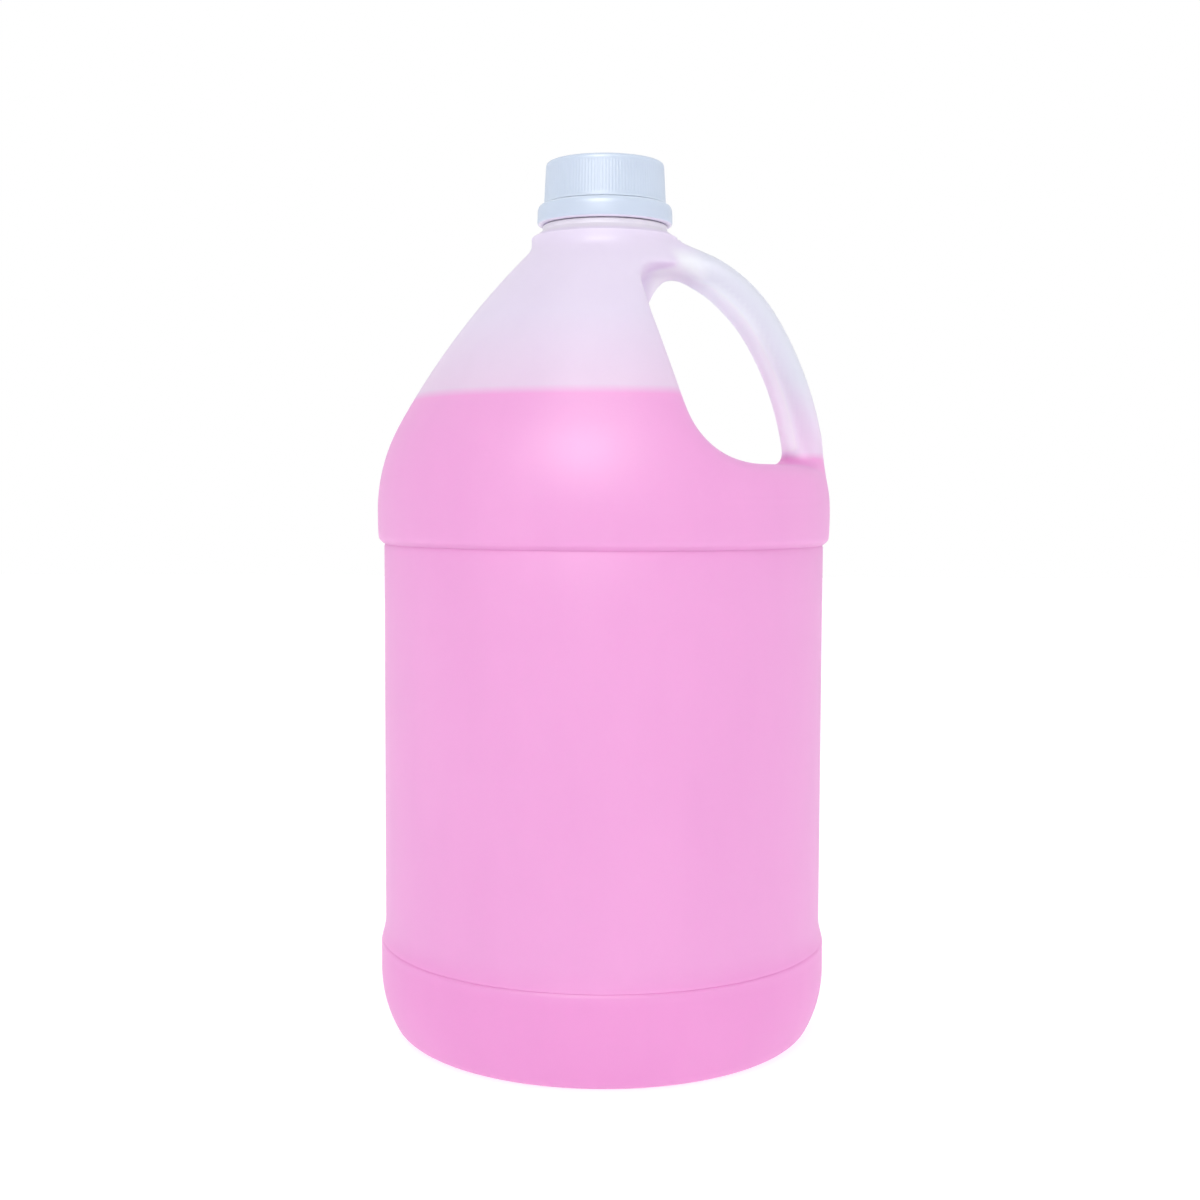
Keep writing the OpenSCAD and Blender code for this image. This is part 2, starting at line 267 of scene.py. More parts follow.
def shoulderPlug():
    # the shoulder as a solid, a little longer at both ends than it is needed
    foot, head = jug["seamLow"] - 3, jug["seamHigh"] + 2
    shoulderZ, shoulderRound = jug["shoulder"][1:]
    start = math.degrees(math.asin((foot + 2 - shoulderZ) / shoulderRound))
    coneStart, coneEnd = jug["coneAngles"]
    points = [(0, foot), (shoulderRadius(foot), foot)]
    points += arcPoints(*jug["shoulder"], start, coneStart, 12)
    points += arcPoints(*jug["cone"], coneStart, coneEnd, 18)
    points += arcPoints(*jug["collarHollow"], 180 + coneEnd, 180, 8)
    points += [(jug["collar"], head), (0, head)]
    return turnOutline("jug", points, jug["turnSteps"])


def gapCutter():
    # side view of the hand's gap, drawn out across the jug
    lean = jug["gapLean"]
    cx, cz = jug["gapCentre"]
    ceiling, cornerRound = jug["gapCeiling"], jug["gapCorner"]
    cornerZ = ceiling - cornerRound
    sideways = jug["gapRound"] + (cornerZ - cz) * math.sin(math.radians(lean)) - cornerRound
    cornerX = cx - sideways / math.cos(math.radians(lean))
    outside, over, width = 100, 300, 240    # well past the jug
    points = [(jug["gapOpen"], over), (jug["gapOpen"], ceiling)]
    points += arcPoints(cornerX, cornerZ, cornerRound, 90, 180 + lean, 8)
    points += arcPoints(cx, cz, jug["gapRound"], 180 + lean, 270, 20)
    points += [(outside, cz - jug["gapRound"]), (outside, over)]
    return platePiece("gapCutter", points, width)


def platePiece(name, points, width):
    # a closed outline filled and drawn out along Y, middle on the jug's axis
    plate = drawOutline(name, points)
    bpy.ops.mesh.select_all(action="SELECT")
    bpy.ops.mesh.edge_face_add()
    bpy.ops.transform.translate(value=(0, -width / 2 * mm, 0))
    bpy.ops.mesh.extrude_region_move(TRANSFORM_OT_translate={"value": (0, width * mm, 0)})
    bpy.ops.mesh.select_all(action="SELECT")
    bpy.ops.mesh.normals_make_consistent(inside=False)
    bpy.ops.object.mode_set(mode="OBJECT")
    return plate


handle = {
    "thick": 13.6,
    "wide": 22.0,
    "square": 0.6,      # below 1 the oval section gets flatter sides
    "bow": (-46.6, 184.0, 124.0),       # centre and outer radius of the long lower bow
    "topBow": (11.88, 219.14, 55.78),   # and of the tighter upper one
    "turn": 31.0,       # angle at which the upper bow takes over
    "foot": 3.7,        # angles at which the bar ends, inside the jug
    "head": 76.0,
    "sweepSteps": 26,
    "thin": ((40, 60, 0.078), (63, 74, 0.07)),  # from angle, to angle, share of thickness lost
}


def handleBar():
    # an oval ring at the point the two bows share, spun down and up
    turn = math.radians(handle["turn"])
    bowX, bowZ, bowRadius = handle["bow"]
    topX, topZ, topRadius = handle["topBow"]
    middle = bowRadius - handle["thick"] / 2
    place = ((bowX + middle * math.cos(turn)) * mm, 0, (bowZ + middle * math.sin(turn)) * mm)
    bpy.ops.mesh.primitive_circle_add(vertices=48, radius=1)
    bar = bpy.context.object
    bar.name = bar.data.name = "handleBar"
    for v in bar.data.vertices:
        v.co.x = math.copysign(abs(v.co.x) ** handle["square"], v.co.x) * handle["thick"] / 2 * mm
        v.co.y = math.copysign(abs(v.co.y) ** handle["square"], v.co.y) * handle["wide"] / 2 * mm
    bar.rotation_euler = (0, -turn, 0)
    bar.location = place
    bpy.ops.object.transform_apply(location=True, rotation=True)
    bpy.ops.object.mode_set(mode="EDIT")
    bpy.ops.mesh.select_all(action="SELECT")
    ring = [v.index for v in bar.data.vertices]
    steps = handle["sweepSteps"]
    down = math.radians(handle["turn"] - handle["foot"])
    bpy.ops.mesh.spin(steps=steps, angle=-down, center=(bowX * mm, 0, bowZ * mm), axis=(0, 1, 0))
    bpy.ops.mesh.edge_face_add()
    bpy.ops.mesh.select_all(action="DESELECT")
    bpy.ops.object.mode_set(mode="OBJECT")
    for i in ring:
        bar.data.vertices[i].select = True
    bpy.ops.object.mode_set(mode="EDIT")
    up = math.radians(handle["head"] - handle["turn"])
    bpy.ops.mesh.spin(steps=steps, angle=up, center=(topX * mm, 0, topZ * mm), axis=(0, 1, 0))
    bpy.ops.mesh.edge_face_add()
    bpy.ops.mesh.select_all(action="SELECT")
    bpy.ops.mesh.normals_make_consistent(inside=False)
    bpy.ops.object.mode_set(mode="OBJECT")
    for v in bar.data.vertices:
        # the inner side is drawn outward along the upper bow
        x, z = v.co.x / mm - topX, v.co.z / mm - topZ
        along = math.degrees(math.atan2(z, x))
        if along > handle["turn"]:
            reach = math.hypot(x, z)
            lost = sum(share * smoothStep(low, high, along) for low, high, share in handle["thin"])
            drawn = (topRadius - reach) * lost
            v.co.x += x / reach * drawn * mm
            v.co.z += z / reach * drawn * mm
    return bar


def cornerWeb():
    # the pinched skin that fills the gap's top corner
    points = [(8, jug["gapCeiling"]), (31, jug["gapCeiling"]), (31, 262.5), (25.5, 262.6)]
    points += [(23.5, 262.4), (21.5, 261.6), (19.7, 260.1), (18.2, 258.4), (17.0, 256.6)]
    points += [(16.0, 254.9), (15.4, 253), (9, 251)]
    return platePiece("cornerWeb", points, jug["webThick"])


def jugShoulder():
    # the solid shoulder with gap, handle and web, remeshed into one skin and rounded by zones
    shoulder = shoulderPlug()
    cutWith(shoulder, gapCutter(), "DIFFERENCE")
    cutWith(shoulder, handleBar(), "UNION")
    cutWith(shoulder, cornerWeb(), "UNION")
    print("shoulder cut and joined:", len(shoulder.data.vertices), "vertices")
    addModifier(shoulder, "skin", "REMESH", mode="VOXEL", voxel_size=jug["voxel"] * mm)
    applyModifiers(shoulder)
    rim, corner, even = (shoulder.vertex_groups.new(name=name) for name in ("rim", "corner", "even"))
    for v in shoulder.data.vertices:
        x, y, z = v.co.x / mm, v.co.y / mm, v.co.z / mm
        outside = shoulderRadius(z) - math.hypot(x, y)
        edge = max(gapDepth(x, z), outside)
        weight = (1 - smoothStep(*jug["rimSoft"], edge)) * within(z, *jug["rimHeights"])
        if outside < -1.5 and z > jug["rootHeight"] + 1:
            weight = 0      # the handle keeps its section
        root = 1 - smoothStep(*jug["rootReach"], abs(z - jug["rootHeight"]))
        root *= smoothStep(*jug["rootAcross"], x) * (1 - smoothStep(*jug["rootSide"], abs(y)))
        rim.add([v.index], max(weight, jug["rootShare"] * root), "REPLACE")
        top = within(x, *jug["cornerAcross"]) * within(z, *jug["cornerHeights"])
        least = jug["cornerMiddle"]
        top *= least + (1 - least) * smoothStep(*jug["cornerSide"], abs(y))
        corner.add([v.index], top, "REPLACE")
        even.add([v.index], within(z, *jug["evenHeights"]), "REPLACE")
    for group in (rim, corner, even):
        rounds = jug[group.name + "Rounds"]
        addModifier(shoulder, group.name, "SMOOTH", factor=0.5, iterations=rounds, vertex_group=group.name)
    applyModifiers(shoulder)
    for v in shoulder.data.vertices:
        # clear of the rim and the handle, the skin lies on the true cone
        x, y, z = v.co.x / mm, v.co.y / mm, v.co.z / mm
        across = math.hypot(x, y)
        off = abs(shoulderRadius(z) - across)
        if z < jug["trueHead"]:
            keep = smoothStep(*jug["trueDepth"], gapDepth(x, z))
        else:
            keep = 1 - smoothStep(*jug["trueAcross"], x)
        if off < jug["trueOff"] and keep > 0:
            v.co.x *= 1 + (shoulderRadius(z) / across - 1) * keep
            v.co.y *= 1 + (shoulderRadius(z) / across - 1) * keep
    return shoulder


def openEdges(piece, test):
    # edge mode with the open edges picked whose two ends pass the test
    makeActive(piece)
    bpy.ops.object.mode_set(mode="EDIT")
    bpy.ops.mesh.select_mode(type="EDGE")
    bpy.ops.mesh.select_all(action="DESELECT")
    bpy.ops.mesh.select_non_manifold(
        extend=False, use_wire=False, use_boundary=True,
        use_multi_face=False, use_non_contiguous=False, use_verts=False)
    bpy.ops.object.mode_set(mode="OBJECT")
    points = piece.data.vertices
    for edge in piece.data.edges:
        if edge.select:
            ends = [points[i].co for i in edge.vertices]
            edge.select = all(test(math.hypot(end.x, end.y) / mm, end.z / mm) for end in ends)
    bpy.ops.object.mode_set(mode="EDIT")


def snapSeam(piece, z, radius):
    # the skin is cut level at z, and its open edge set on the true circle
    makeActive(piece)
    bpy.ops.object.mode_set(mode="EDIT")
    bpy.ops.mesh.select_all(action="SELECT")
    # the lower seam keeps what is over it, the upper one what is under it
    low = z == jug["seamLow"]
    cutLevel(z, clear_inner=low, clear_outer=not low)
    bpy.ops.mesh.select_all(action="SELECT")
    bpy.ops.mesh.remove_doubles(threshold=0.05 * mm)
    openEdges(piece, lambda across, height: abs(height - z) < 0.3)
    bpy.ops.object.mode_set(mode="OBJECT")
    points = piece.data.vertices
    rim = {i for edge in piece.data.edges if edge.select for i in edge.vertices}
    for i in rim:
        x, y = points[i].co.xy
        across = math.hypot(x, y)
        points[i].co = (x / across * radius * mm, y / across * radius * mm, z * mm)


def bridgeSeam(piece, low, high, inner=0, outer=1000):
    # joins the two open edges that lie between these heights and radii
    openEdges(piece, lambda across, height: low < height < high and inner < across < outer)
    bpy.ops.mesh.bridge_edge_loops()
    bpy.ops.object.mode_set(mode="OBJECT")


neck = {
    "root": 17.6,
    "crest": 18.65,
    "bore": 15.7,
    "lead": 4.233,
    "threadFoot": 289.0,
    "threadWide": 2.3,
    "threadSink": 0.35,     # the ridge starts this far inside its wall
    "runOut": 9,            # steps over which each end runs out
    "turns": 1.5,
    "stepsPerTurn": 96,
}


def neckOutline():
    # collar, ledge, groove for the band, bead, thread wall, rim and mouth
    points = [(jug["collar"], 274.4), (jug["collar"], 274.55)]
    points += arcPoints(24.75, 274.55, 0.45, 0, 52, 4)
    points += [(23.4, 275.85), (22.3, 276.65)]
    points += arcPoints(22.3, 277.7, 0.8, 232, 180, 4)
    points += arcPoints(21.2, 278.7, 0.3, 0, 90, 4)
    points += arcPoints(19.2, 279.3, 0.3, 270, 180, 4)
    points += arcPoints(19.15, 283.15, 0.25, 180, 90, 4)
    points += arcPoints(19.8, 283.6, 0.2, 270, 360, 4)
    points += arcPoints(19.6, 283.85, 0.4, 0, 45, 4)
    points += arcPoints(18.1, 286.5, 0.5, 225, 180, 4)
    points += [(neck["root"], 290), (neck["root"], 294)]
    points += arcPoints(17.0, 297.4, 0.6, 0, 90, 6)
    points += arcPoints(16.1, 297.6, 0.4, 90, 180, 5)
    points += [(neck["bore"], 292), (neck["bore"], 286), (neck["bore"], 281.6), (15.85, 280.8), (16.6, 279.6)]
    points += [(18.2, 278.4), (20.2, 277.1), (22.6, 275.9), (23.8, 275.1), (24.2, 274.4)]
    return points


def threadRidge(name, root, crest, foot, width, fromTurn, turns):
    # a rounded ridge drawn as a small outline, screwed up the neck with its ends run out
    depth = crest - root
    side = 1 if depth > 0 else -1
    base = root - neck["threadSink"] * side
    flank = ((0, 0.5), (0.12, 0.5), (0.72, 0.27), (0.95, 0.15))     # shares of depth and width
    rise = [(base if share == 0 else root + share * depth, width * half) for share, half in flank]
    points = [(x, foot - half) for x, half in rise] + [(crest, foot)]
    points += [(x, foot + half) for x, half in reversed(rise)]
    ridge = drawOutline(name, points)
    bpy.ops.mesh.select_all(action="SELECT")
    bpy.ops.mesh.edge_face_add()
    bpy.ops.mesh.delete(type="ONLY_FACE")
    bpy.ops.object.mode_set(mode="OBJECT")
    profile = len(ridge.data.vertices)
    steps = int(neck["stepsPerTurn"] * turns)
    ridge.rotation_euler = (0, 0, fullTurn * fromTurn)
    bpy.ops.object.transform_apply(rotation=True)
    addModifier(
        ridge, "screw", "SCREW", axis="Z", angle=fullTurn * turns, screw_offset=neck["lead"] * turns * mm,
        steps=steps, render_steps=steps, use_merge_vertices=False)
    applyModifiers(ridge)
    for v in ridge.data.vertices:
        step = v.index // profile
        runOut = smoothStep(0, neck["runOut"], min(step, steps - step))
        across = math.hypot(v.co.x, v.co.y) / mm
        wanted = base + (across - base) * (0.2 + 0.8 * runOut)
        v.co.x *= wanted / across
        v.co.y *= wanted / across
    bpy.ops.object.mode_set(mode="EDIT")
    bpy.ops.mesh.select_all(action="SELECT")
    bpy.ops.mesh.fill_holes(sides=0)
    bpy.ops.mesh.normals_make_consistent(inside=False)
    bpy.ops.object.mode_set(mode="OBJECT")
    return ridge


def jugNeck():
    # the turned neck with its thread, open underneath
    points = neckOutline()
    collar = drawOutline("jugNeck", points + [points[0]])
    bpy.ops.mesh.select_all(action="SELECT")
    bpy.ops.mesh.remove_doubles(threshold=mergeGap * mm)
    bpy.ops.mesh.select_all(action="SELECT")
    bpy.ops.mesh.spin(steps=jug["turnSteps"], angle=fullTurn, **jugAxis)
    bpy.ops.mesh.select_all(action="SELECT")
    bpy.ops.mesh.remove_doubles(threshold=mergeGap * mm)
    bpy.ops.mesh.normals_make_consistent(inside=False)
    bpy.ops.object.mode_set(mode="OBJECT")
    thread = threadRidge(
        "neckThread", neck["root"], neck["crest"], neck["threadFoot"], neck["threadWide"], 0, neck["turns"])
    cutWith(collar, thread, "UNION")
    # the flat under the collar comes away again, for the bridges to the body's two skins
    makeActive(collar)
    bpy.ops.object.mode_set(mode="EDIT")
    bpy.ops.mesh.select_mode(type="FACE")
    bpy.ops.mesh.select_all(action="DESELECT")
    bpy.ops.object.mode_set(mode="OBJECT")
    for face in collar.data.polygons:
        face.select = face.center.z < 274.42 * mm and abs(face.normal.z) > 0.9
    bpy.ops.object.mode_set(mode="EDIT")
    bpy.ops.mesh.delete(type="FACE")
    bpy.ops.object.mode_set(mode="OBJECT")
    return collar


skin = jugShoulder()
snapSeam(skin, jug["seamLow"], shoulderRadius(jug["seamLow"]))
snapSeam(skin, jug["seamHigh"], jug["collar"])
joinPieces(skin, [turnOutline("jugLower", lowerOutline(), jug["turnSteps"])])
bridgeSeam(skin, jug["seamLow"] - 0.8, jug["seamLow"] + 0.1, 70)
faceOutward(skin)
print("outer skin:", len(skin.data.vertices), "vertices")


liquid = {
    "level": 219.9,
    "handleLevel": 200.4,   # in the handle's foot
    "clear": 1.15,          # from the jug's outer skin
    "meniscus": 0.5,
    "edge": ((0.5, 0.7), (1.0, 0.3)),   # width of each ring of it, and share of its drop
    "handleFoot": (50, 192),            # the handle's foot lies outside and over this
}


def pinkLiquid():
    # the jug's own skin, drawn in by its wall and cut level twice
    fill = copyPiece(skin, "pinkRemover")
    addModifier(fill, "drawIn", "DISPLACE", mid_level=0, strength=-liquid["clear"] * mm, direction="NORMAL")
    applyModifiers(fill)
    level, handleLevel = liquid["level"], liquid["handleLevel"]
    footX, footZ = liquid["handleFoot"]
    near = 0.03
    for height, part in ((level, lambda x, y, z: True), (handleLevel, lambda x, y, z: x > footX and z > footZ)):
        editVertices(fill, part)
        cutLevel(height, clear_outer=True)
    for part in (lambda x, y, z: z > level - near, lambda x, y, z: x > footX and z > handleLevel - near):
        # the open top is closed, with the edge drawn a little up the wall
        editVertices(fill, part)
        bpy.ops.mesh.edge_face_add()
        bpy.ops.mesh.select_mode(type="FACE")
        for width, share in liquid["edge"]:
            bpy.ops.mesh.inset(thickness=width * mm, use_even_offset=False)
            bpy.ops.transform.translate(value=(0, 0, -liquid["meniscus"] * share * mm))
        bpy.ops.object.mode_set(mode="OBJECT")
    return fill


pink = pinkLiquid()
print("liquid:", len(pink.data.vertices), "vertices")


def pressCreases(piece):
    # the fine creases over and under the panel are pressed into the outer face
    for v in piece.data.vertices:
        across, z = math.hypot(v.co.x, v.co.y) / mm, v.co.z / mm
        for foot, bottom, head, depth in jug["creases"]:
            if across > jug["panel"] - 0.1 and foot < z < head:
                share = (z - foot) / (bottom - foot) if z < bottom else (head - z) / (head - bottom)
                v.co.x *= 1 - depth * share / across
                v.co.y *= 1 - depth * share / across


addModifier(
    skin, "blownWall", "SOLIDIFY", thickness=jug["wall"] * mm, offset=-1,
    use_even_offset=False, use_rim=False)
applyModifiers(skin)
joinPieces(skin, [jugNeck()])
pressCreases(skin)
bridgeSeam(skin, jug["seamHigh"] - 0.4, jug["seamHigh"] + 0.6, 24.8, 26)    # outer skins
bridgeSeam(skin, jug["seamHigh"] - 2, jug["seamHigh"] + 0.6, 20, 26)        # inner skins
print("jug:", len(skin.data.vertices), "vertices")


cap = {
    "foot": 286.6,
    "top": 300.6,
    "radius": 21.0,
    "draft": 3.0,
    "bore": 19.0,
    "roof": 299.2,
    "ribs": 120,
    "ribDepth": 0.1,
    "ribSteps": 5,          # steps of turn in each rib
    "threadFoot": 287.94,
    "threadCrest": 17.95,
    "threadWide": 2.1,
    "threadStart": 0.25,    # of a turn round from the neck's
}


def capRadius(z):
    # the cap's outer wall tapers by its draft
    return cap["radius"] - (z - cap["foot"]) * math.tan(math.radians(cap["draft"]))


def screwCap():
    points = [(0, 300.3), (1.2, 300.3), (1.5, 300.42), (16.9, 300.42), (17.3, cap["top"])]
    points += list(reversed(arcPoints(18.938, 299.2, 1.4, 3, 90, 8)))
    points += [(capRadius(z), z) for z in (299.0, 298.7, 298.3, 297.8, 295, 292)]
    points += [(capRadius(z), z) for z in (289.6, 288.3, 287.8, 287.4, 287.1)]
    points += arcPoints(20.85, 286.6, 0.15, 0, -90, 3)
    points += arcPoints(19.15, 286.6, 0.15, -90, -180, 3)
    points += [(cap["bore"], 290), (cap["bore"], 294)]
    points += arcPoints(18.4, 298.6, 0.6, 0, 90, 4)
    points += [(17, cap["roof"]), (0, cap["roof"])]
    # one rib's share of the cap is spun, its groove pressed in, and then copied round
    lid = drawOutline("cap", points)
    bpy.ops.mesh.select_all(action="SELECT")
    share = fullTurn / cap["ribs"]
    bpy.ops.mesh.spin(steps=cap["ribSteps"], angle=share, **jugAxis)
    bpy.ops.object.mode_set(mode="OBJECT")
    for v in lid.data.vertices:
        z = v.co.z / mm
        across = math.hypot(v.co.x, v.co.y) / mm
        if across > capRadius(z) - 0.05 and 287.0 < z < 299.3:
            turn = (math.atan2(v.co.y, v.co.x) / share) % 1
            pressed = cap["ribDepth"] * (0.5 - 0.5 * math.cos(fullTurn * turn)) ** 0.8
            pressed *= smoothStep(287.2, 287.9, z) * (1 - smoothStep(298.2, 299.1, z))
            v.co.x *= 1 - pressed / across
            v.co.y *= 1 - pressed / across
    bpy.ops.object.mode_set(mode="EDIT")
    bpy.ops.mesh.select_all(action="SELECT")
    bpy.ops.mesh.spin(steps=cap["ribs"], angle=fullTurn, dupli=True, **jugAxis)
    bpy.ops.mesh.select_all(action="SELECT")
    bpy.ops.mesh.remove_doubles(threshold=mergeGap * mm)
    bpy.ops.mesh.normals_make_consistent(inside=False)
    bpy.ops.object.mode_set(mode="OBJECT")
    thread = threadRidge(
        "capThread", cap["bore"], cap["threadCrest"], cap["threadFoot"], cap["threadWide"],
        cap["threadStart"], neck["turns"])
    cutWith(lid, thread, "UNION")
    return lid


lid = screwCap()
print("cap:", len(lid.data.vertices), "vertices")


band = {
    "foot": 279.3,
    "footRound": 1.0,
    "bridges": 12,
    "peg": (0.7, 1.2, 0.7),             # size and place of one snapped bridge
    "pegPlace": (20.65, 0, 286.0),
}


def tamperBand():
    # a turned ring that is wider than the cap, with a lip inside that holds it under the neck's bead
    points = arcPoints(22.3, band["foot"] + band["footRound"], band["footRound"], -90, 0, 7)
    points += [(23.25, 282.2), (23.22, 283.4), (23.17, 284.1), (23.04, 284.8), (22.8, 285.35), (22.45, 285.8)]
    points += [(22.0, 286.08), (21.5, 286.24), (21.1, 286.3), (20.95, 286.25), (20.9, 285.95), (20.8, 285.8)]
    points += arcPoints(20.6, 285.5, 0.3, 90, 180, 3)
    points += [(20.3, 283.6)]
    points += arcPoints(19.6, 282.7, 0.3, 90, 180, 3)
    points += arcPoints(19.6, 281.3, 0.3, 180, 250, 3)
    points += [(20.3, 280.5)]
    points += arcPoints(20.6, 279.6, 0.3, 180, 270, 3)
    ring = turnOutline("tamperBand", points + [points[0]], jug["turnSteps"])
    # one peg, copied round
    bpy.ops.mesh.primitive_cube_add(size=mm, location=[place * mm for place in band["pegPlace"]])
    peg = bpy.context.object
    peg.scale = band["peg"]
    bpy.ops.object.transform_apply(location=True, scale=True)
    bpy.ops.object.mode_set(mode="EDIT")
    bpy.ops.mesh.select_all(action="SELECT")
    bpy.ops.mesh.spin(steps=band["bridges"], angle=fullTurn, dupli=True, **jugAxis)
    bpy.ops.mesh.select_all(action="SELECT")
    bpy.ops.mesh.remove_doubles(threshold=mergeGap * mm)
    bpy.ops.object.mode_set(mode="OBJECT")
    cutWith(ring, peg, "UNION")
    return ring


ring = tamperBand()
print("tamper band:", len(ring.data.vertices), "vertices")


liner = {
    "foot": 298.1,
    "head": 299.1,
    "radius": 18.6,
    "edgeRound": 0.2,
    "pressed": 0.12,
    "turnSteps": 96,
}


def foamLiner():
    # a flat disc with a ring where the jug's rim has pressed it
    foot, head, edge = liner["foot"], liner["head"], liner["edgeRound"]
    middle = liner["radius"] - edge
    pressed = foot + liner["pressed"]
    points = [(0, foot), (15.4, foot), (15.8, pressed), (17.3, pressed), (17.7, foot)]
    points += arcPoints(middle, foot + edge, edge, -90, 0, 3)
    points += arcPoints(middle, head - edge, edge, 0, 90, 3)
    points += [(9, head), (0, head)]
    return turnOutline("liner", points, liner["turnSteps"])


disc = foamLiner()
print("liner:", len(disc.data.vertices), "vertices")


def newMaterial(name):
    material = bpy.data.materials.new(name)
    material.use_nodes = True
    material.cycles.emission_sampling = "NONE"      # a faint glow is not worth sampling as a lamp
    tree = material.node_tree
    shader = tree.nodes["Principled BSDF"]
    return material, tree, shader


def addNode(tree, kind, **values):
    node = tree.nodes.new(kind)
    for key, value in values.items():
        setattr(node, key, value)
    return node


def setInputs(node, values):
    for name, value in values.items():
        node.inputs[name].default_value = value


def objectPlace(tree):
    place = addNode(tree, "ShaderNodeTexCoord").outputs["Object"]
    split = addNode(tree, "ShaderNodeSeparateXYZ")
    tree.links.new(place, split.inputs[0])
    return place, split


def addNoise(tree, vector, scale, detail=2):
    noise = addNode(tree, "ShaderNodeTexNoise")
    setInputs(noise, {"Scale": scale, "Detail": detail})
    tree.links.new(vector, noise.inputs["Vector"])
    return noise.outputs["Fac"]


def addRamp(tree, value, low, high, lowAt=0, highAt=1):
    # from one colour to the other against a value
    ramp = addNode(tree, "ShaderNodeValToRGB")
    for stop, colour, position in zip(ramp.color_ramp.elements, (low, high), (lowAt, highAt)):
        stop.color = colour
        stop.position = position
    tree.links.new(value, ramp.inputs["Fac"])
    return ramp


def addFade(tree, value, low, high, fromShare, toShare):
    # an eased share, against a height or distance
    fade = addNode(tree, "ShaderNodeMapRange", interpolation_type="SMOOTHSTEP")
    setInputs(fade, {"From Min": low * mm, "From Max": high * mm, "To Min": fromShare, "To Max": toShare})
    tree.links.new(value, fade.inputs["Value"])
    return fade.outputs["Result"]


def addMath(tree, operation, value, other=None):
    maths = addNode(tree, "ShaderNodeMath", operation=operation)
    tree.links.new(value, maths.inputs[0])
    if other is not None:
        maths.inputs[1].default_value = other
    return maths.outputs["Value"]


def addBump(tree, height, strength, distance, under=None):
    bump = addNode(tree, "ShaderNodeBump")
    setInputs(bump, {"Strength": strength, "Distance": distance * mm})
    tree.links.new(height, bump.inputs["Height"])
    if under:
        tree.links.new(under, bump.inputs["Normal"])
    return bump.outputs["Normal"]


def mixColours(tree, share, first, second, blend="MIX"):
    # inputs 0, 6 and 7 of a colour mix are its factor and its two colours
    mix = addNode(tree, "ShaderNodeMix", data_type="RGBA", blend_type=blend)
    for value, socket in ((share, mix.inputs[0]), (first, mix.inputs[6]), (second, mix.inputs[7])):
        if isinstance(value, bpy.types.NodeSocket):
            tree.links.new(value, socket)
        else:
            socket.default_value = value
    return mix.outputs[2]


plastic = {
    "filled": (0.97, 0.375, 0.78, 1),       # where the liquid stands behind the wall
    "base": (0.965, 0.325, 0.74, 1),
    "levelGlowColour": (0.88, 0.65, 0.89, 1),     # painted glow of the liquid's pink light just over the level
    "empty": (0.865, 0.76, 0.98, 1),
    # a painted pink glow just over the liquid in the handle's foot
    "handleFoot": (0.90, 0.67, 0.92, 1),
    "handle": (0.75, 0.755, 0.875, 1),
    "paintedFillLight": (0.98, 0.99, 1, 1),           # paler colour painted where little light reaches, as painted fill light
    "backGlowColour": (0.6, 1, 0.9, 1),           # colour of a painted glow that stands in for light coming through the hollow handle from behind
    "through": 0.15,
    "cloud": (0.965, 0.955, 0.97, 1),       # faint, drawn out upward as the blown wall is
    "cloudStretch": (1, 1, 0.35),
    "cloudScale": 38,
    "grainScale": 900,
    "baseFade": (28, 42),       # heights over which the base's colour gives way
    "levelEdge": (1.6, 1.3),    # the level's soft edge, under and over it
    "glow": 26.0,               # height over the level at which its painted glow ends
    "handleAcross": (24, 36),   # the handle's colour starts this far from the axis
    "handleSide": (13, 15),     # and ends this far to either side
    "innerDepth": (7, 12),      # its inner side lies this far from the outer bow
    "innerFoot": (199.5, 204),
    "corner": (25, 259),        # the gap's top corner, its reach and its half width
    "cornerReach": (7, 13),
    "cornerSide": (10, 18),
    # shares of painted fill light and painted glow at the gap's corner; the neck under the band, where shade
    # falls, gets painted fill light too
    "cornerFillLight": 0.8,
    "cornerBackGlow": 0.4,
    "neckFrom": ((275.2, 276.4), (281, 283)),
    "neckFillLight": 0.5,
    "partingLine": (0.1, 0.55),
    "surface": {
        "Roughness": 0.5,
        "IOR": 1.45,
        "Specular IOR Level": 0.4,
        "Transmission Weight": 0.12,
        "Subsurface Weight": 0.4,
        "Subsurface Scale": 1.0,
        "Subsurface Radius": (0.01, 0.01, 0.01),
    },
}


